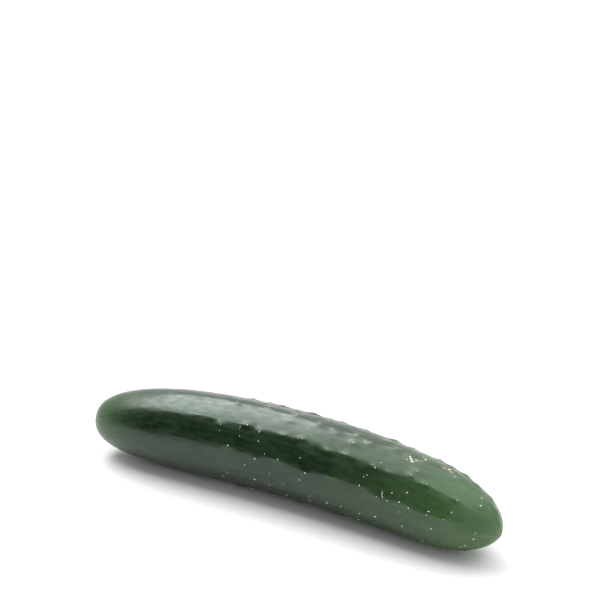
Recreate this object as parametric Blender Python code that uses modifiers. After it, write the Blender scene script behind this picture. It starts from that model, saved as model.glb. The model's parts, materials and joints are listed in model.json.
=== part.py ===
"""A fresh slicing cucumber, one solid, lying on its side the way it comes to rest on a table.

Run it with: blender --background --python part.py

The body is turned from a profile, drawn out into the faint lobes and ribs of the real fruit, bent along its
middle line, rolled to the tilt at which a bent cucumber settles, and pressed lightly onto the table.
Units are metres. +X runs from the stem end to the blossom end, +Y to the outer side of the bend, +Z is up.
The origin is the middle of the bounding box, on the table.
"""

import math

import bpy
from mathutils import Euler

NAME = "cucumber"

# Driving dimensions of the body.
LENGTH = 0.215  # along the bent middle line, tip to tip
RADIUS = 0.0203  # of the fullest section
BEND = math.radians(23.4)  # how far the middle line turns between the tips

# The outline: two superellipse ends that meet at the fullest section. Stations are shares of LENGTH.
FULLEST_STATION = 0.37
STEM_EXPONENTS = (2.5, 2.8)  # along, across: a long taper with a blunt nose
BLOSSOM_EXPONENTS = (6.1, 1.9)  # along, across: full almost to the tip
WAIST_STATION = 0.75
WAIST_DEPTH = 0.03  # as a share of the radius
WAIST_SPREAD = 0.082

# The section: three seed chambers swell it into soft lobes, and ten veins into faint ribs.
LOBES = 3
LOBE_HEIGHT = 0.007  # as a share of the radius
RIBS = 10
RIB_HEIGHT = 0.008
RIB_TURN = math.radians(9.0)  # turns the ribs about the middle line

# The scars where the stalk was cut and where the flower dropped off.
STEM_SCAR_RADIUS = 0.0034
BLOSSOM_SCAR_RADIUS = 0.0021
SCAR_FLOOR_SHARE = 0.65  # of the scar's radius
SCAR_DEPTH = 0.0005

# How it lies.
TILT = math.radians(24.5)  # roll that lifts the outer side of the bend
PITCH = math.radians(0.25)  # nose-down turn that brings both halves to the table
PRESS = 0.00025  # how far the belly is flattened by the table

# Mesh fineness.
RINGS = 46
SIDES = 60
MERGE = 1e-5

SKIN_COLOUR = (0.022, 0.052, 0.024, 1.0)
SKIN_ROUGHNESS = 0.34


def clear_scene():
    for thing in list(bpy.data.objects):
        bpy.data.objects.remove(thing, do_unlink=True)


def radius_at(station):
    """Radius of the turned body at a share of its length, before lobes and ribs."""
    if station < FULLEST_STATION:
        reach = (FULLEST_STATION - station) / FULLEST_STATION
        along, across = STEM_EXPONENTS
    else:
        reach = (station - FULLEST_STATION) / (1.0 - FULLEST_STATION)
        along, across = BLOSSOM_EXPONENTS
    rounding = max(0.0, 1.0 - reach**along) ** (1.0 / across)
    waist = WAIST_DEPTH * math.exp(-(((station - WAIST_STATION) / WAIST_SPREAD) ** 2))
    return RADIUS * rounding * (1.0 - waist)


def turned_profile():
    """Points (along, out) from the middle of the stem scar to the middle of the blossom scar."""
    stations = [(1.0 - math.cos(math.pi * ring / RINGS)) / 2.0 for ring in range(1, RINGS)]
    outline = [((station - 0.5) * LENGTH, radius_at(station)) for station in stations]
    stem_end = [(along, out) for along, out in outline if along < 0 and out > STEM_SCAR_RADIUS]
    blossom_end = [(along, out) for along, out in outline if along >= 0 and out > BLOSSOM_SCAR_RADIUS]
    tip = LENGTH / 2.0
    stem_floor = -tip + SCAR_DEPTH
    blossom_floor = tip - SCAR_DEPTH
    return (
        [(stem_floor, 0.0), (stem_floor, STEM_SCAR_RADIUS * SCAR_FLOOR_SHARE), (-tip, STEM_SCAR_RADIUS)]
        + stem_end
        + blossom_end
        + [(tip, BLOSSOM_SCAR_RADIUS), (blossom_floor, BLOSSOM_SCAR_RADIUS * SCAR_FLOOR_SHARE), (blossom_floor, 0.0)]
    )


def evaluated_mesh(thing):
    graph = bpy.context.evaluated_depsgraph_get()
    return bpy.data.meshes.new_from_object(thing.evaluated_get(graph))


def linked_object(name, mesh, collection):
    thing = bpy.data.objects.new(name, mesh)
    collection.objects.link(thing)
    return thing


def turn_body(profile, collection):
    """The straight round body: the profile swept about the X axis by a Screw modifier."""
    line = bpy.data.meshes.new("profile")
    points = [(along, 0.0, out) for along, out in profile]
    edges = [(point, point + 1) for point in range(len(points) - 1)]
    line.from_pydata(points, edges, [])
    sweep = linked_object("profile", line, collection)
    screw = sweep.modifiers.new("turn", "SCREW")
    screw.axis = "X"
    screw.angle = 2.0 * math.pi
    screw.steps = SIDES
    screw.render_steps = SIDES
    screw.use_normal_flip = True
    screw.use_merge_vertices = True
    screw.merge_threshold = MERGE
    bpy.context.view_layer.update()
    mesh = evaluated_mesh(sweep)
    bpy.data.objects.remove(sweep, do_unlink=True)
    return mesh


def draw_out_lobes(mesh):
    """Moves each point out or in along its radius; the effect dies away at both tips."""
    for vertex in mesh.vertices:
        along, side, up = vertex.co
        share = min(1.0, max(0.0, along / LENGTH + 0.5))
        fade = math.sin(math.pi * share) ** 0.7
        angle = math.atan2(up, side)
        lobes = LOBE_HEIGHT * math.cos(LOBES * angle)
        ribs = RIB_HEIGHT * math.cos(RIBS * (angle - RIB_TURN))
        swell = 1.0 + fade * (lobes + ribs)
        vertex.co = (along, side * swell, up * swell)


def bend_body(mesh, collection):
    """Bends the straight body in the XY plane with a Simple Deform modifier, outer side towards +Y."""
    straight = linked_object("straight", mesh, collection)
    bend = straight.modifiers.new("bend", "SIMPLE_DEFORM")
    bend.deform_method = "BEND"
    bend.deform_axis = "Z"
    bend.angle = -BEND
    bpy.context.view_layer.update()
    bent = evaluated_mesh(straight)
    bpy.data.objects.remove(straight, do_unlink=True)
    return bent


def lay_on_table(body):
    """Tilts the body, sets it down with its box centred on the origin, and flattens the belly at the table."""
    body.data.transform(Euler((TILT, PITCH, 0.0)).to_matrix().to_4x4())
    xs, ys, zs = zip(*(vertex.co for vertex in body.data.vertices))
    lift = -min(zs) - PRESS
    body.location = (-(min(xs) + max(xs)) / 2.0, -(min(ys) + max(ys)) / 2.0, lift)
    for vertex in body.data.vertices:
        vertex.co.z = max(vertex.co.z, -lift)


def skin_material():
    material = bpy.data.materials.new("skin")
    material.use_nodes = True
    shader = material.node_tree.nodes["Principled BSDF"]
    shader.inputs["Base Color"].default_value = SKIN_COLOUR
    shader.inputs["Roughness"].default_value = SKIN_ROUGHNESS
    shader.inputs["Metallic"].default_value = 0.0
    return material


def main():
    clear_scene()
    collection = bpy.data.collections.new(NAME)
    bpy.context.scene.collection.children.link(collection)
    mesh = turn_body(turned_profile(), collection)
    draw_out_lobes(mesh)
    mesh = bend_body(mesh, collection)
    mesh.name = NAME
    body = linked_object(NAME, mesh, collection)
    lay_on_table(body)
    mesh.shade_smooth()
    mesh.materials.clear()
    mesh.materials.append(skin_material())


main()
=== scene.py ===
# %% [markdown]
# # A slicing cucumber on a table
# This lesson gives a plain solid cucumber its real surface. The solid is already bent, tilted and resting
# on the table. Here it gets ribs and warts, worn spine stubs, grazes, a scar at each end, and a waxy
# green skin. Every length is in metres. +X runs from the stem end to the blossom end, and the table is at
# z = 0.

import json
import math
import random

import bpy
import numpy as np
from mathutils import Matrix, Vector, noise

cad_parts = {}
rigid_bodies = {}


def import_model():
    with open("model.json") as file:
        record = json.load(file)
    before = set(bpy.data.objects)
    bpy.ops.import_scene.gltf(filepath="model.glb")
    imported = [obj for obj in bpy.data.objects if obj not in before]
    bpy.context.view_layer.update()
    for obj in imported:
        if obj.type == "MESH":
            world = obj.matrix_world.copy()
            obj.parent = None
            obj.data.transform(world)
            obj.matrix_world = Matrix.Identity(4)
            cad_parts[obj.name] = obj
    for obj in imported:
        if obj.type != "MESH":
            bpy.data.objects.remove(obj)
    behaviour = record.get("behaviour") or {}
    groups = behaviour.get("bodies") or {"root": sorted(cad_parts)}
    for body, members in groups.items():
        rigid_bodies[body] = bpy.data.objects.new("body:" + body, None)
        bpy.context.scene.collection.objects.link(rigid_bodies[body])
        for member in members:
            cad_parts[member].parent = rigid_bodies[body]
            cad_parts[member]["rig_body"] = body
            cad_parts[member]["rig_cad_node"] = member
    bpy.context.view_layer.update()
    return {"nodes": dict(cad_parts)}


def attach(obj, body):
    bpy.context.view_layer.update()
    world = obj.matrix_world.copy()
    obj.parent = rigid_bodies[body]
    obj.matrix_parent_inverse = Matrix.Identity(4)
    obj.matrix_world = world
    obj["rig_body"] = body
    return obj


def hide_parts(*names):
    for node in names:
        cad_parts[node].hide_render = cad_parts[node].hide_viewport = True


MM = 0.001

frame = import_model()
solid = frame["nodes"]["cucumber"]

# %% [markdown]
# ## The camera
# A long lens from about eighty centimetres away keeps both ends of the fruit nearly the same size. The
# camera stands on the hollow side of the bend, towards the blossom end, thirty degrees above the table, so
# that the top of the fruit, its near side and its shadow all show. It aims above and beyond the fruit,
# which then lies low in a wide empty frame.

# %% Set up the camera
MIDDLE = Vector((0.00015, 0.0012, 0.0205))  # centre of the middle section
CAMERA_DISTANCE = 0.784
CAMERA_SIDE = math.radians(29.1)  # from straight in front towards the blossom end
CAMERA_HEIGHT = math.radians(30.0)
AIM_SIDE = math.radians(29.0)
AIM_DOWN = math.radians(24.7)
LENS_MM = 100.0
SENSOR_MM = 36.0

camera_data = bpy.data.cameras.new("camera")
camera_data.lens = LENS_MM
camera_data.sensor_width = SENSOR_MM
camera = bpy.data.objects.new("camera", camera_data)
bpy.context.scene.collection.objects.link(camera)
camera.location = MIDDLE + CAMERA_DISTANCE * Vector((
    math.sin(CAMERA_SIDE) * math.cos(CAMERA_HEIGHT),
    -math.cos(CAMERA_SIDE) * math.cos(CAMERA_HEIGHT),
    math.sin(CAMERA_HEIGHT),
))
camera.rotation_euler = (math.radians(90.0) - AIM_DOWN, 0.0, AIM_SIDE)
bpy.context.scene.camera = camera
print("camera at", [round(value, 3) for value in camera.location])

# %% [markdown]
# ## Measuring along and around a bent fruit
# Ribs, warts and streaks follow the fruit, not the world. So each point gets fruit coordinates: how far
# along the bent middle line it lies, at which angle around it, and how far out. The middle line is a
# circular arc, which makes both directions of the sum short.

# %% Fruit coordinates
LENGTH = 0.215  # along the middle line
RADIUS = 20 * MM  # about the same over most of the length
BEND = math.radians(23.4)
BEND_RADIUS = LENGTH / BEND
TILT = math.radians(24.5)  # how far it has rolled onto its side
PITCH = math.radians(0.25)  # the thinner blossom end lies this much lower
LAY = Matrix.Rotation(PITCH, 3, "Y") @ Matrix.Rotation(TILT, 3, "X")


def to_fruit(points):
    """An array of world points to (along, around, out). Around is an angle from the bend's outer side."""
    local = (points - np.array(MIDDLE)) @ np.array(LAY)
    reach = local[:, 1] + BEND_RADIUS
    along = np.arctan2(local[:, 0], reach) * BEND_RADIUS
    side = np.hypot(local[:, 0], reach) - BEND_RADIUS
    return along, np.arctan2(local[:, 2], side), np.hypot(side, local[:, 2])


def to_world(along, around, out):
    """One place on the fruit as a world point."""
    turn = along / BEND_RADIUS
    reach = BEND_RADIUS + out * math.cos(around)
    local = Vector((reach * math.sin(turn), reach * math.cos(turn) - BEND_RADIUS, out * math.sin(around)))
    return MIDDLE + LAY @ local


print("blossom end of the middle line:", [round(value, 4) for value in to_world(LENGTH / 2.0, 0.0, 0.0)])

# %% [markdown]
# ## The skin's mesh
# The solid is a coarse mesh of loose triangles. A copy of it is welded, its triangles are paired into
# squares, and two rounds of Subdivision Surface make squares about 0.7 millimetres wide, small enough to
# carry a wart. The solid also brings its own stored normals. They describe the smooth body, so they are
# cleared, or the new relief would be shaded as if it weren't there. A voxel remesh would be even too, but
# it would blunt the dimples at both ends.

# %% Copy and refine the body
WELD = 0.01 * MM
REFINE_ROUNDS = 2

bpy.ops.object.select_all(action="DESELECT")
solid.select_set(True)
bpy.context.view_layer.objects.active = solid
bpy.ops.object.duplicate(linked=False)
skin = bpy.context.view_layer.objects.active
skin.name = "cucumber_skin"
skin.data.name = "cucumber_skin"
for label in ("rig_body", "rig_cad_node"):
    del skin[label]
bpy.ops.mesh.customdata_custom_splitnormals_clear()
bpy.ops.object.mode_set(mode="EDIT")
bpy.ops.mesh.select_all(action="SELECT")
bpy.ops.mesh.remove_doubles(threshold=WELD)
bpy.ops.mesh.tris_convert_to_quads()
bpy.ops.object.mode_set(mode="OBJECT")
refine = skin.modifiers.new("refine", "SUBSURF")
refine.levels = REFINE_ROUNDS
refine.render_levels = REFINE_ROUNDS
bpy.ops.object.modifier_apply(modifier=refine.name)
bpy.ops.object.shade_smooth()
print("skin mesh:", len(skin.data.polygons), "faces")

# %% [markdown]
# ## Where the warts sit
# A young cucumber bears a row of warts on each rib, about a centimetre apart, fewer and smaller ones in
# the furrows between, and none near the stalk. The rows are near enough even to be a loop, and a seeded
# shuffle takes the regularity out. Each wart keeps its place, its width, its height and how far it is
# drawn out along the fruit.

# %% Lay out the warts
RIBS = 10
RIB_TURN = math.radians(30.0)  # where the first rib lies around the fruit
WART_FIRST = -34 * MM
WART_LAST = 103 * MM
RIB_STEP = 12 * MM
FURROW_STEP = 32 * MM
RIB_SIZES = (0.55, 1.0)  # shares of the largest wart
FURROW_SIZES = (0.35, 0.75)
STEP_SHARES = (0.55, 1.3)
WART_STRETCHES = (1.0, 1.6)
LEAST_RADIUS = 1.6 * MM
ADDED_RADIUS = 1.8 * MM  # for the largest wart
LEAST_HEIGHT = 0.18 * MM
ADDED_HEIGHT = 0.58 * MM
OFF_ROW = math.radians(3.5)
STUB_CHANCE = 0.88

shuffle = random.Random(11)
warts = []
for row in range(2 * RIBS):
    on_rib = row % 2 == 0
    step = RIB_STEP if on_rib else FURROW_STEP
    row_angle = RIB_TURN + math.pi / RIBS * row
    along = WART_FIRST + shuffle.uniform(0.0, 1.0) * step
    while along < WART_LAST:
        size = shuffle.uniform(*(RIB_SIZES if on_rib else FURROW_SIZES))
        warts.append({
            "along": along,
            "around": row_angle + shuffle.gauss(0.0, OFF_ROW),
            "radius": LEAST_RADIUS + ADDED_RADIUS * size,
            "height": LEAST_HEIGHT + ADDED_HEIGHT * size * size,
            "stretch": shuffle.uniform(*WART_STRETCHES),
            "stub": shuffle.random() < STUB_CHANCE,
        })
        along += step * shuffle.uniform(*STEP_SHARES)
print("warts:", len(warts))

# %% [markdown]
# ## Raising the relief
# Each vertex moves along its own normal. The solid has only soft ribs, so they are taken off and firm
# ones are raised: a clear crest along each rib, and a nearly flat facet between two. They fade out at the
# smooth neck and at the tip. A wart is a low mound with a small peak. Between the warts the skin is never
# quite even, so soft noise in fruit coordinates adds shallow swellings. Nothing may sink below the table.

# %% Push the vertices out
SOLID_RIB_TURN = math.radians(9.0)
SOLID_RIB_SHARE = 0.008  # of the radius
SOLID_RIB_FADE = 0.7  # power of a sine over the length
RIB_RISE = 0.36 * MM  # from the middle of a facet to the crest
CREST_ROUNDING = 0.3
MEAN_PROFILE = 0.25  # taken off, so that the fruit stays as thick as it was
CREST_WANDER = math.radians(5.0)
WANDER_GRAIN = 16 * MM
FIRMNESS_CHANGE = 1.2
FIRMNESS_GRAIN = 22 * MM
NECK_END = 0.12  # station where the ribs begin
NECK_FADE = 0.22
TIP_FADE = 0.20
SWELL = 0.15 * MM
SWELL_GRAIN = 11 * MM
PEAK_SHARE = 0.35  # of a wart's height
PEAK_SHARPNESS = 14.0


def mesh_arrays(thing):
    """Positions and normals of a mesh's vertices."""
    count = len(thing.data.vertices)
    places = np.empty(count * 3)
    normals = np.empty(count * 3)
    thing.data.vertices.foreach_get("co", places)
    thing.data.vertex_normals.foreach_get("vector", normals)
    return places.reshape(-1, 3), normals.reshape(-1, 3)


def wart_relief(along, around, out):
    """Height of all warts together over each vertex."""
    height = np.zeros(len(along))
    for wart in warts:
        far_along = (along - wart["along"]) / wart["stretch"]
        turn = (around - wart["around"] + math.pi) % (2.0 * math.pi) - math.pi
        share = (far_along**2 + (turn * out) ** 2) / wart["radius"] ** 2
        near = share < 1.0
        mound = (1.0 - share[near]) ** 2
        peak = np.exp(-share[near] * PEAK_SHARPNESS)
        height[near] += wart["height"] * ((1.0 - PEAK_SHARE) * mound + PEAK_SHARE * peak)
    return height


def soft_noise(along, around, grain, shift):
    """Noise over the fruit's surface, with grains of this length. Each shift gives another pattern."""
    grains = RADIUS / grain
    height = np.empty(len(along))
    for index, (x, angle) in enumerate(zip(along, around)):
        place = Vector((x / (1.4 * grain) + shift, grains * math.cos(angle), grains * math.sin(angle)))
        height[index] = noise.noise(place)
    return height


def rib_relief(along, around, out):
    """Takes off the solid's soft ribs and raises the firm ones."""
    station = np.clip(along / LENGTH + 0.5, 0.0, 1.0)
    solid_fade = np.sin(math.pi * station) ** SOLID_RIB_FADE
    soft = SOLID_RIB_SHARE * solid_fade * out * np.cos(RIBS * (around - SOLID_RIB_TURN))
    half = math.pi / RIBS
    wandering = around - RIB_TURN + CREST_WANDER * soft_noise(along, around, WANDER_GRAIN, 5.0)
    off_facet = np.abs(wandering % (2.0 * half) - half) / half  # 0 in a facet's middle, 1 on a crest
    fade = np.clip((station - NECK_END) / NECK_FADE, 0.0, 1.0) * np.clip((1.0 - station) / TIP_FADE, 0.0, 1.0)
    profile = off_facet**2 - CREST_ROUNDING * off_facet**4 - MEAN_PROFILE
    firmness = 1.0 + FIRMNESS_CHANGE * soft_noise(along, around, FIRMNESS_GRAIN, 9.0)
    return fade * RIB_RISE * profile * firmness - soft


places, normals = mesh_arrays(skin)
along, around, out = to_fruit(places)
wart_height = wart_relief(along, around, out)
swellings = SWELL * soft_noise(along, around, SWELL_GRAIN, 0.0)
height = wart_height + rib_relief(along, around, out) + swellings
places = places + normals * height[:, None]
places[:, 2] = np.maximum(places[:, 2], 0.0)
skin.data.vertices.foreach_set("co", places.ravel())
skin.data.update()
print("highest wart: %.2f mm" % (wart_height.max() / MM))

# %% [markdown]
# ## Coordinates for the skin's pattern
# The streaks and mottles run along the fruit and gather at its ends. A shader can follow them if the mesh
# carries the unbent coordinates as an attribute. The angle is kept as a cosine and a sine, because a bare
# angle would jump where it passes half a turn and leave a seam.

# %% Store the attribute
unbent = skin.data.attributes.new("unbent", "FLOAT_VECTOR", "POINT")
unbent.data.foreach_set("vector", np.stack([along / LENGTH, np.cos(around), np.sin(around)], 1).ravel())
print("stored:", unbent.name, "on", len(unbent.data), "vertices")

# %% [markdown]
# ## Small helpers for node materials
# Every finish below is a Principled BSDF fed by noise. These helpers keep the wiring short.

# %% Node helpers


def new_material(name):
    material = bpy.data.materials.new(name)
    material.use_nodes = True
    nodes = material.node_tree.nodes
    return material, nodes, material.node_tree.links, nodes["Principled BSDF"]


def noise_node(nodes, links, vector, scale, detail=3.0, roughness=0.5):
    texture = nodes.new("ShaderNodeTexNoise")
    texture.inputs["Scale"].default_value = scale
    texture.inputs["Detail"].default_value = detail
    texture.inputs["Roughness"].default_value = roughness
    links.new(vector, texture.inputs["Vector"])
    return texture.outputs["Fac"]


def ramp_node(nodes, links, factor, stops):
    """A colour ramp from (position, colour) stops."""
    ramp = nodes.new("ShaderNodeValToRGB")
    elements = ramp.color_ramp.elements
    while len(elements) < len(stops):
        elements.new(0.5)
    for element, (position, colour) in zip(elements, stops):
        element.position = position
        element.color = (*colour, 1.0)
    links.new(factor, ramp.inputs["Fac"])
    return ramp.outputs["Color"]


def range_node(nodes, links, value, low, high, new_low, new_high):
    spread = nodes.new("ShaderNodeMapRange")
    for name, number in (("From Min", low), ("From Max", high), ("To Min", new_low), ("To Max", new_high)):
        spread.inputs[name].default_value = number
    links.new(value, spread.inputs["Value"])
    return spread.outputs["Result"]


def mix_node(nodes, links, factor, first, second):
    mix = nodes.new("ShaderNodeMix")
    mix.data_type = "RGBA"
    links.new(factor, mix.inputs["Factor"])
    for socket, value in ((mix.inputs["A"], first), (mix.inputs["B"], second)):
        if isinstance(value, tuple):
            socket.default_value = (*value, 1.0)
        else:
            links.new(value, socket)
    return mix.outputs["Result"]


def math_node(nodes, links, operation, *values):
    node = nodes.new("ShaderNodeMath")
    node.operation = operation
    for socket, value in zip(node.inputs, values):
        if isinstance(value, (int, float)):
            socket.default_value = value
        else:
            links.new(value, socket)
    return node.outputs["Value"]


def bump_node(nodes, links, height, distance, strength, previous=None):
    bump = nodes.new("ShaderNodeBump")
    bump.inputs["Distance"].default_value = distance
    bump.inputs["Strength"].default_value = strength
    links.new(height, bump.inputs["Height"])
    if previous is not None:
        links.new(previous, bump.inputs["Normal"])
    return bump.outputs["Normal"]


print("node helpers ready")

# %% [markdown]
# ## The skin
# The green is darkest over the middle and grows lighter and yellower towards both ends, most at the
# blossom end, where thin pale streaks run up from the tip. Over that lie fine streaks along the fruit and
# soft mottles. A thin coat stands for the wax that such fruit is given, a little uneven, so the
# reflections have soft edges. A rubbed brown stain sits high on the blossom half.

# %% Make the skin material
DEEP_GREEN = (0.004, 0.012, 0.004)
MIDDLE_GREEN = (0.010, 0.026, 0.009)
LEAF_GREEN = (0.030, 0.078, 0.023)
TIP_GREEN = (0.060, 0.120, 0.036)
STREAK_GREEN = (0.20, 0.30, 0.10)
STAIN_BROWN = (0.17, 0.13, 0.05)

skin_material, nodes, links, shader = new_material("skin")
fruit = nodes.new("ShaderNodeAttribute")
fruit.attribute_name = "unbent"
split = nodes.new("ShaderNodeSeparateXYZ")
links.new(fruit.outputs["Vector"], split.inputs["Vector"])
station = split.outputs["X"]

TRUE_SIZE = 10.6  # the scale along the fruit that makes one unit its radius in every direction


def scaled_fruit(along, across):
    """The fruit's coordinates, scaled along it and across it."""
    mapping = nodes.new("ShaderNodeMapping")
    mapping.inputs["Scale"].default_value = (along, across, across)
    links.new(fruit.outputs["Vector"], mapping.inputs["Vector"])
    return mapping.outputs["Vector"]


drawn_out = scaled_fruit(1.6, 3.0)
streaks = noise_node(nodes, links, drawn_out, scale=4.0, detail=5.0, roughness=0.6)
even = scaled_fruit(0.5 * TRUE_SIZE, 1.0)
mottles = noise_node(nodes, links, even, scale=2.2, detail=4.0, roughness=0.6)
freckles = noise_node(nodes, links, even, scale=26.0, detail=2.0)
blots = noise_node(nodes, links, even, scale=8.0, detail=2.0)

body_colour = ramp_node(nodes, links, mottles, [(0.35, DEEP_GREEN), (0.68, MIDDLE_GREEN)])
streak_share = range_node(nodes, links, streaks, 0.5, 0.75, 0.0, 0.4)
body_colour = mix_node(nodes, links, streak_share, body_colour, LEAF_GREEN)

uneven = math_node(nodes, links, "MULTIPLY_ADD", mottles, 0.16, -0.08)
shifted = math_node(nodes, links, "ADD", station, uneven)
blossom_share = range_node(nodes, links, shifted, 0.02, 0.50, 0.0, 1.0)
blossom_share = math_node(nodes, links, "POWER", blossom_share, 1.6)
stem_share = range_node(nodes, links, shifted, -0.36, -0.51, 0.0, 0.8)
end_colour = mix_node(nodes, links, mottles, LEAF_GREEN, TIP_GREEN)
colour = mix_node(nodes, links, blossom_share, body_colour, end_colour)
colour = mix_node(nodes, links, stem_share, colour, end_colour)

tip_streaks = noise_node(nodes, links, scaled_fruit(7.0, 7.0), scale=2.4, detail=2.0)
tip_streaks = range_node(nodes, links, tip_streaks, 0.60, 0.72, 0.0, 1.0)
near_tip = range_node(nodes, links, station, 0.42, 0.48, 0.0, 0.5)
tip_streaks = math_node(nodes, links, "MULTIPLY", tip_streaks, near_tip)
colour = mix_node(nodes, links, tip_streaks, colour, STREAK_GREEN)

STAIN_ALONG = 76.5 * MM
STAIN_AROUND = math.radians(54.0)
from_stain = nodes.new("ShaderNodeVectorMath")
from_stain.operation = "DISTANCE"
links.new(scaled_fruit(TRUE_SIZE, 1.0), from_stain.inputs[0])
from_stain.inputs[1].default_value = (
    TRUE_SIZE * STAIN_ALONG / LENGTH,
    math.cos(STAIN_AROUND),
    math.sin(STAIN_AROUND),
)
stain = range_node(nodes, links, from_stain.outputs["Value"], 0.22, 0.08, 0.0, 1.0)
stain_grain = range_node(nodes, links, freckles, 0.40, 0.62, 0.0, 0.8)
stain = math_node(nodes, links, "MULTIPLY", stain, stain_grain)
colour = mix_node(nodes, links, stain, colour, STAIN_BROWN)
links.new(colour, shader.inputs["Base Color"])

roughness = range_node(nodes, links, blots, 0.3, 0.7, 0.22, 0.42)
links.new(roughness, shader.inputs["Roughness"])
shader.inputs["IOR"].default_value = 1.52
shader.inputs["Specular Tint"].default_value = (0.80, 1.0, 0.86, 1.0)
shader.inputs["Coat Weight"].default_value = 0.12
shader.inputs["Coat Roughness"].default_value = 0.12
soft_streaks = noise_node(nodes, links, drawn_out, scale=4.0, detail=1.0)
soft_blots = noise_node(nodes, links, even, scale=7.0, detail=1.0)
fine_bump = bump_node(nodes, links, soft_streaks, 0.14 * MM, 0.5)
fine_bump = bump_node(nodes, links, soft_blots, 0.22 * MM, 0.5, fine_bump)
links.new(fine_bump, shader.inputs["Normal"])
skin.data.materials.clear()
skin.data.materials.append(skin_material)
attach(skin, "root")
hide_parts("cucumber")
print("skin material nodes:", len(nodes))

# %% [markdown]
# ## Spine stubs
# Each wart of a young cucumber ends in a brittle white spine. Handling snaps it off and leaves a dull
# cream stub, wider at its foot, with a ragged dimple on top. One stub is modelled from a small ring and
# copied to the warts.

# %% Model one stub
STUB_RADIUS = 0.42 * MM
STUB_HEIGHT = 0.42 * MM
STUB_RINGS = ((0.35, 0.72), (0.40, 0.85), (0.25, 0.70))  # share of the height, scale
DIMPLE_RIM = 0.07 * MM
DIMPLE_DEPTH = 0.06 * MM


def start_piece(name):
    """Names the object that was just added."""
    piece = bpy.context.view_layer.objects.active
    piece.name = name
    piece.data.name = name
    return piece


def join_pieces(pieces, name):
    bpy.ops.object.select_all(action="DESELECT")
    for piece in pieces:
        piece.select_set(True)
    bpy.context.view_layer.objects.active = pieces[0]
    bpy.ops.object.join()
    return start_piece(name)


def extrude_ring(up, scale):
    """Extrudes the selected faces straight up and scales them about their own middle."""
    bpy.ops.mesh.extrude_region_move(TRANSFORM_OT_translate={"value": (0.0, 0.0, up)})
    bpy.ops.transform.resize(value=(scale, scale, 1.0))


bpy.ops.object.select_all(action="DESELECT")
bpy.ops.mesh.primitive_circle_add(vertices=8, radius=STUB_RADIUS, fill_type="NGON", location=(0.0, 0.0, 0.0))
stub = start_piece("spine_stub")
bpy.ops.object.mode_set(mode="EDIT")
bpy.ops.mesh.select_all(action="SELECT")
for rise, scale in STUB_RINGS:
    extrude_ring(rise * STUB_HEIGHT, scale)
bpy.ops.mesh.inset(thickness=DIMPLE_RIM, depth=-DIMPLE_DEPTH)
bpy.ops.mesh.select_all(action="SELECT")
bpy.ops.mesh.normals_make_consistent(inside=False)
bpy.ops.object.mode_set(mode="OBJECT")
bpy.ops.object.shade_smooth()
print("one stub:", len(stub.data.polygons), "faces")

# %% [markdown]
# ## Setting pieces on the skin
# A stub, a graze or a scar is placed by where it lies along and around the fruit. A ray shot inwards
# finds the skin there with all its relief, and the piece is turned so that its own up points out of the
# skin.

# %% Find a place on the skin
OUTSIDE = 45 * MM  # any distance well outside the fruit

bpy.context.view_layer.update()


def skin_place(along, around):
    """The point on the skin here, and a frame with Z out of the skin and X along the fruit."""
    centre = to_world(along, around, 0.0)
    start = to_world(along, around, OUTSIDE)
    hit, point, normal, _ = skin.ray_cast(start, (centre - start).normalized())
    assert hit, "the ray misses the fruit"
    forward = to_world(along + MM, around, 0.0) - centre
    across = normal.cross(forward).normalized()
    turn = Matrix((across.cross(normal), across, normal)).transposed()
    return point, turn


print("skin at the middle, outer side:", [round(value, 4) for value in skin_place(0.0, 0.0)[0]])

# %% [markdown]
# Every stub is a full copy, a little different in size and lean, sunk a tenth of a millimetre into its
# wart so that no gap shows. The copies are joined, which makes one piece of them all.

# %% Copy the stub to the warts
STUB_CLEARANCE = 1.5 * MM  # lower ones are rubbed off by the table
STUB_SINK = 0.1 * MM
STUB_LEAN = 0.18  # radians
STUB_SIZES = (0.65, 1.1)

stubs = []
for wart in warts:
    point, turn = skin_place(wart["along"], wart["around"])
    if not wart["stub"] or point.z < STUB_CLEARANCE:
        continue
    lean = Matrix.Rotation(shuffle.gauss(0.0, STUB_LEAN), 3, "X")
    lean = lean @ Matrix.Rotation(shuffle.gauss(0.0, STUB_LEAN), 3, "Y")
    size = shuffle.uniform(*STUB_SIZES)
    copy = stub.copy()
    copy.data = stub.data.copy()
    bpy.context.scene.collection.objects.link(copy)
    copy.data.transform(Matrix.Translation((0.0, 0.0, -STUB_SINK)))
    copy.data.transform(Matrix.Diagonal((size, size, size, 1.0)))
    copy.data.transform(Matrix.Translation(point) @ (turn @ lean).to_4x4())
    stubs.append(copy)
bpy.data.objects.remove(stub)
spines = join_pieces(stubs, "spine_stubs")
print("stubs:", len(stubs))

# %% [markdown]
# A dead spine dries to a dull straw white, a little soiled. At this size, fine noise between two pale
# colours is enough, and Object coordinates make every stub a little different.

# %% Make the stub material
spine_material, nodes, links, shader = new_material("spine")
position = nodes.new("ShaderNodeTexCoord").outputs["Object"]
blotches = noise_node(nodes, links, position, scale=900.0)
stub_colour = ramp_node(nodes, links, blotches, [(0.35, (0.42, 0.42, 0.28)), (0.65, (0.80, 0.80, 0.66))])
links.new(stub_colour, shader.inputs["Base Color"])
shader.inputs["Roughness"].default_value = 0.6
spines.data.materials.clear()
spines.data.materials.append(spine_material)
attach(spines, "root")
print("stub material on", spines.name)

# %% [markdown]
# ## Wrapping thin pieces on the skin
# Grazes are dry and corky, a tenth of a millimetre thick, and follow the skin they grew on. So each is
# modelled flat, as an uneven scab with sloping sides, and then wrapped: its X runs along the fruit, its Y
# around it, and its Z out of the skin.

# %% Model and wrap one scab
SCAB_SIDES = 12
SCAB_THICKNESS = 0.10 * MM
SCAB_SIDE = 0.7  # these heights and widths are shares of the thickness and of the sizes
SCAB_TOP = 0.8
SCAB_CROWN = 0.12
SCAB_SUNK = 0.4
RAGGED = 0.7


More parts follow.
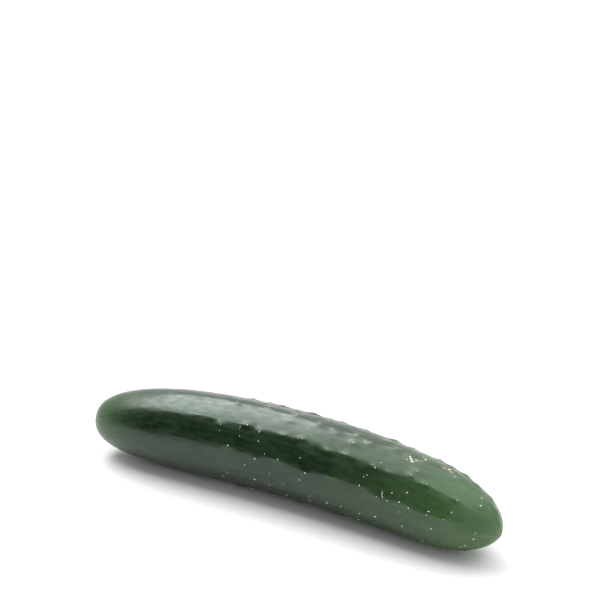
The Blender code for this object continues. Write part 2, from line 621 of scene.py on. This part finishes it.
def add_scab(along, around, size_along, size_around, turn):
    """A thin corky scab, wrapped onto the skin. The sizes are its length and width before it is turned."""
    bpy.ops.object.select_all(action="DESELECT")
    bpy.ops.mesh.primitive_circle_add(
        vertices=SCAB_SIDES, radius=0.5, fill_type="NGON", location=(0.0, 0.0, 0.0)
    )
    scab = start_piece("scab")
    bpy.ops.object.mode_set(mode="EDIT")
    bpy.ops.mesh.select_all(action="SELECT")
    extrude_ring(SCAB_SIDE, SCAB_TOP)
    bpy.ops.mesh.inset(thickness=SCAB_CROWN, depth=1.0 - SCAB_SIDE)
    bpy.ops.mesh.select_all(action="SELECT")
    bpy.ops.mesh.normals_make_consistent(inside=False)
    bpy.ops.object.mode_set(mode="OBJECT")
    bpy.ops.object.shade_smooth()
    place = Vector((along / MM, around * 7.0, 0.0))  # gives each scab its own edge
    for vertex in scab.data.vertices:
        ragged = 1.0 + RAGGED * noise.noise(place + 2.3 * Vector((vertex.co.x, vertex.co.y, 0.0)))
        flat = Matrix.Rotation(turn, 2) @ Vector((
            vertex.co.x * size_along * ragged,
            vertex.co.y * size_around * ragged,
        ))
        point, frame_here = skin_place(along + flat.x, around + flat.y / RADIUS)
        vertex.co = point + frame_here @ Vector((0.0, 0.0, (vertex.co.z - SCAB_SUNK) * SCAB_THICKNESS))
    return scab


# %% [markdown]
# The grazes that catch the eye are listed one by one: a broken patch high on the blossom half, a few short
# scratches across the fruit, and one long thin one low on its side. A shuffle scatters tiny flecks over
# the rest.

# %% Place the grazes
GRAZES = [
    # along mm, around degrees, length mm, width mm, turn degrees
    (60.0, 71.0, 2.6, 1.0, 35.0),
    (61.6, 74.5, 2.0, 0.9, -30.0),
    (58.8, 68.0, 1.6, 0.8, 80.0),
    (62.4, 69.0, 1.5, 0.7, 10.0),
    (58.6, 74.0, 1.0, 0.6, 50.0),
    (65.0, 58.0, 3.0, 0.6, 80.0),
    (63.2, 54.0, 1.2, 0.6, 20.0),
    (74.6, 57.0, 1.4, 0.8, 0.0),
    (76.4, 52.0, 1.9, 1.0, -60.0),
    (78.0, 56.0, 1.6, 0.6, 25.0),
    (81.0, 63.0, 1.0, 0.4, -20.0),
    (55.8, 134.0, 2.8, 0.35, 85.0),
    (56.5, 138.0, 1.0, 0.35, 60.0),
    (60.2, 128.0, 1.0, 0.45, 0.0),
    (16.4, 188.0, 1.8, 0.35, 30.0),
    (16.6, 188.5, 1.6, 0.35, -60.0),
    (30.5, 68.0, 2.4, 0.3, -15.0),
    (70.0, 139.0, 1.2, 0.5, 40.0),
    (79.5, 133.0, 1.4, 0.5, -40.0),
    (37.0, 209.5, 14.0, 0.3, 0.0),
]
FLECKS = 34
FLECK_ALONG = (-45 * MM, 100 * MM)
FLECK_AROUND = (-0.4 * math.pi, 1.3 * math.pi)
FLECK_LENGTH = (0.4 * MM, 1.1 * MM)
FLECK_WIDTH = (0.25 * MM, 0.5 * MM)
FLECK_TURN = (0.0, math.pi)

grazes = [
    add_scab(at * MM, math.radians(angle), length * MM, width * MM, math.radians(turn))
    for at, angle, length, width, turn in GRAZES
]
for _ in range(FLECKS):
    ranges = (FLECK_ALONG, FLECK_AROUND, FLECK_LENGTH, FLECK_WIDTH, FLECK_TURN)
    grazes.append(add_scab(*(shuffle.uniform(low, high) for low, high in ranges)))
graze_piece = join_pieces(grazes, "grazes")
print("grazes:", len(grazes))

# %% [markdown]
# A graze heals as pale cork, cream with tan patches. Noise through a ramp of three colours gives the
# patches, and the same noise drives a slight bump.

# %% Make the graze material
graze_material, nodes, links, shader = new_material("graze")
position = nodes.new("ShaderNodeTexCoord").outputs["Object"]
blotches = noise_node(nodes, links, position, scale=700.0, detail=4.0, roughness=0.6)
graze_colour = ramp_node(nodes, links, blotches, [
    (0.34, (0.34, 0.30, 0.14)),
    (0.48, (0.60, 0.60, 0.42)),
    (0.62, (0.80, 0.82, 0.68)),
])
links.new(graze_colour, shader.inputs["Base Color"])
shader.inputs["Roughness"].default_value = 0.7
links.new(bump_node(nodes, links, blotches, 0.05 * MM, 0.6), shader.inputs["Normal"])
graze_piece.data.materials.clear()
graze_piece.data.materials.append(graze_material)
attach(graze_piece, "root")
print("graze material on", graze_piece.name)

# %% [markdown]
# ## The scars at the two ends
# At the stem end the knife left a round stump of dry tissue: a torn rim, a ring of six hard veins and a
# shrunken middle. At the blossom end the flower dropped off by itself and left a smaller, duller knot.
# Both are turned from a disc with a few insets, then roughened, and set into the solid's dimples.

# %% Model the end scars
SCAR_SIDES = 24
SCAR_ROOT = 0.5 * MM  # how deep it reaches into the skin
SCAR_TAPER = 0.92
SCAR_RINGS = ((0.12, 0.0), (0.12, -0.8), (0.22, 0.3), (0.26, -0.5))  # shares of the radius and rim height
VEIN_RING = 0.52  # where the veins stand, as a share of the radius
VEIN_WIDTH = 0.14
VEIN_HEIGHT = 0.8  # of the rim's
FIBRE = 0.55 * MM
UNROUND = 0.12
SHOWING = 0.6 * SCAR_ROOT  # what lies above this is veined and roughened
SOFTEN_ROUNDS = 2


def end_frame(sign):
    """Where the skin's dimple is at one end, and a frame with Z pointing out of that end."""
    tip = to_world(sign * LENGTH / 2.0, 0.0, 0.0)
    inner = to_world(sign * (LENGTH / 2.0 - 5 * MM), 0.0, 0.0)
    out = (tip - inner).normalized()
    hit, point, _, _ = skin.ray_cast(tip + out * 10 * MM, -out)
    assert hit, "no skin at this end"
    return point, out.to_track_quat("Z", "Y").to_matrix()


def add_end_scar(name, sign, radius, rim_height, veins, roughness):
    """A round scar with a rim, a groove, a ring of veins and a sunken middle, set into one end."""
    bpy.ops.object.select_all(action="DESELECT")
    bpy.ops.mesh.primitive_circle_add(
        vertices=SCAR_SIDES, radius=radius, fill_type="NGON", location=(0.0, 0.0, 0.0)
    )
    scar = start_piece(name)
    bpy.ops.object.mode_set(mode="EDIT")
    bpy.ops.mesh.select_all(action="SELECT")
    extrude_ring(SCAR_ROOT + rim_height, SCAR_TAPER)
    for width, rise in SCAR_RINGS:
        bpy.ops.mesh.inset(thickness=width * radius, depth=rise * rim_height)
    bpy.ops.mesh.poke()
    bpy.ops.mesh.select_all(action="SELECT")
    bpy.ops.mesh.normals_make_consistent(inside=False)
    bpy.ops.object.mode_set(mode="OBJECT")
    soften = scar.modifiers.new("soften", "SUBSURF")
    soften.levels = SOFTEN_ROUNDS
    soften.render_levels = SOFTEN_ROUNDS
    bpy.ops.object.modifier_apply(modifier=soften.name)
    bpy.ops.object.shade_smooth()
    point, frame_here = end_frame(sign)
    for vertex in scar.data.vertices:
        share = math.hypot(vertex.co.x, vertex.co.y) / radius
        angle = math.atan2(vertex.co.y, vertex.co.x)
        vein = max(0.0, math.cos(veins * angle)) ** 3 * math.exp(-((share - VEIN_RING) / VEIN_WIDTH) ** 2)
        rough = noise.noise(vertex.co / FIBRE) * roughness
        up = vertex.co.z - SCAR_ROOT
        if vertex.co.z > SHOWING:
            up += vein * VEIN_HEIGHT * rim_height + rough
        spread = 1.0 + UNROUND * noise.noise(Vector((math.cos(angle), math.sin(angle), sign)) * 1.6)
        vertex.co = point + frame_here @ Vector((vertex.co.x * spread, vertex.co.y * spread, up))
    return scar


stem_scar = add_end_scar(
    "stem_scar", sign=-1.0, radius=3.1 * MM, rim_height=0.40 * MM, veins=6, roughness=0.10 * MM
)
blossom_scar = add_end_scar(
    "blossom_scar", sign=1.0, radius=1.8 * MM, rim_height=0.34 * MM, veins=3, roughness=0.12 * MM
)

# %% [markdown]
# Both scars are dry fibre. The cut stalk stays straw yellow, and the flower's scar weathers to a dull
# olive. One fine noise serves both, with other colours on its ramp.

# %% Make the scar materials
for scar, stops in (
    (stem_scar, [(0.34, (0.16, 0.13, 0.04)), (0.50, (0.38, 0.37, 0.13)), (0.66, (0.55, 0.53, 0.27))]),
    (blossom_scar, [(0.36, (0.06, 0.06, 0.03)), (0.52, (0.18, 0.19, 0.08)), (0.66, (0.34, 0.36, 0.18))]),
):
    scar_material, nodes, links, shader = new_material(scar.name)
    position = nodes.new("ShaderNodeTexCoord").outputs["Object"]
    fibres = noise_node(nodes, links, position, scale=620.0, detail=5.0, roughness=0.65)
    links.new(ramp_node(nodes, links, fibres, stops), shader.inputs["Base Color"])
    shader.inputs["Roughness"].default_value = 0.75
    links.new(bump_node(nodes, links, fibres, 0.12 * MM, 0.7), shader.inputs["Normal"])
    scar.data.materials.clear()
    scar.data.materials.append(scar_material)
    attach(scar, "root")
    print(scar.name, len(scar.data.polygons), "faces")

# %% [markdown]
# ## The table
# A plain white table carries the fruit's shadow. It reaches four metres out on every side, so its far edge
# stays out of the camera's picture.

# %% Build the table
TABLE_SIZE = 8.0
TABLE_WHITE = 0.86

bpy.ops.object.select_all(action="DESELECT")
bpy.ops.mesh.primitive_plane_add(size=TABLE_SIZE, location=(0.0, 0.0, 0.0))
table = start_piece("table")
table_material, nodes, links, shader = new_material("table")
shader.inputs["Base Color"].default_value = (TABLE_WHITE, TABLE_WHITE, TABLE_WHITE, 1.0)
shader.inputs["Roughness"].default_value = 0.65
table.data.materials.append(table_material)
print("table:", TABLE_SIZE, "metres square")

# %% [markdown]
# ## The lights
# Two wide softboxes hang side by side over the table and reach well behind the fruit. The one on the stem
# side is five times as bright, and draws the long pale reflection on the fruit's shoulder. Its near edge
# makes that reflection end in a clear line.

# %% Hang the softboxes
SOFTBOX_HEIGHT = 3.0
SOFTBOX_NEAR = -0.7  # y of the edge nearest the camera
SOFTBOX_FAR = 3.6


def add_softbox(name, left, right, radiance):
    """A level rectangular light over the table between two x values."""
    data = bpy.data.lights.new(name, "AREA")
    data.shape = "RECTANGLE"
    data.size = right - left
    data.size_y = SOFTBOX_FAR - SOFTBOX_NEAR
    data.energy = radiance * math.pi * data.size * data.size_y
    softbox = bpy.data.objects.new(name, data)
    softbox.location = ((left + right) / 2.0, (SOFTBOX_NEAR + SOFTBOX_FAR) / 2.0, SOFTBOX_HEIGHT)
    bpy.context.scene.collection.objects.link(softbox)
    print(name, "power: %.0f W" % data.energy)


add_softbox("key_softbox", left=-3.3, right=-1.5, radiance=7.0)
add_softbox("fill_softbox", left=-1.5, right=3.0, radiance=1.3)

# %% [markdown]
# ## The room
# The room is bright all round except for a round patch in front on the stem side, about thirty degrees
# up, which shows in the skin as the dark band below the bright line. The patch is drawn from the direction
# of each ray alone, with a soft edge. The camera itself sees a plain white backdrop.

# %% Light the room
DARK_SIDE = Vector((-0.42, -0.72, 0.52))  # towards the dark part of the room
DARK_EDGE = 0.91  # cosines of the angles from that side
BRIGHT_EDGE = 0.74
DARK = 0.03
BRIGHT = 1.0
BACKDROP = 1.2  # what the camera sees behind the table

world = bpy.data.worlds.new("room")
bpy.context.scene.world = world
world.use_nodes = True
nodes, links = world.node_tree.nodes, world.node_tree.links
room_light = nodes["Background"]
direction = nodes.new("ShaderNodeTexCoord").outputs["Generated"]
toward_dark = nodes.new("ShaderNodeVectorMath")
toward_dark.operation = "DOT_PRODUCT"
toward_dark.inputs[1].default_value = DARK_SIDE.normalized()
links.new(direction, toward_dark.inputs[0])
bright_share = range_node(nodes, links, toward_dark.outputs["Value"], DARK_EDGE, BRIGHT_EDGE, 0.0, 1.0)
room = mix_node(nodes, links, bright_share, (DARK, DARK, DARK), (BRIGHT, BRIGHT, BRIGHT))
path = nodes.new("ShaderNodeLightPath")
room = mix_node(nodes, links, path.outputs["Is Camera Ray"], room, (BACKDROP, BACKDROP, BACKDROP))
links.new(room, room_light.inputs["Color"])
bpy.context.scene.view_settings.view_transform = "Standard"
print("room nodes:", len(nodes))
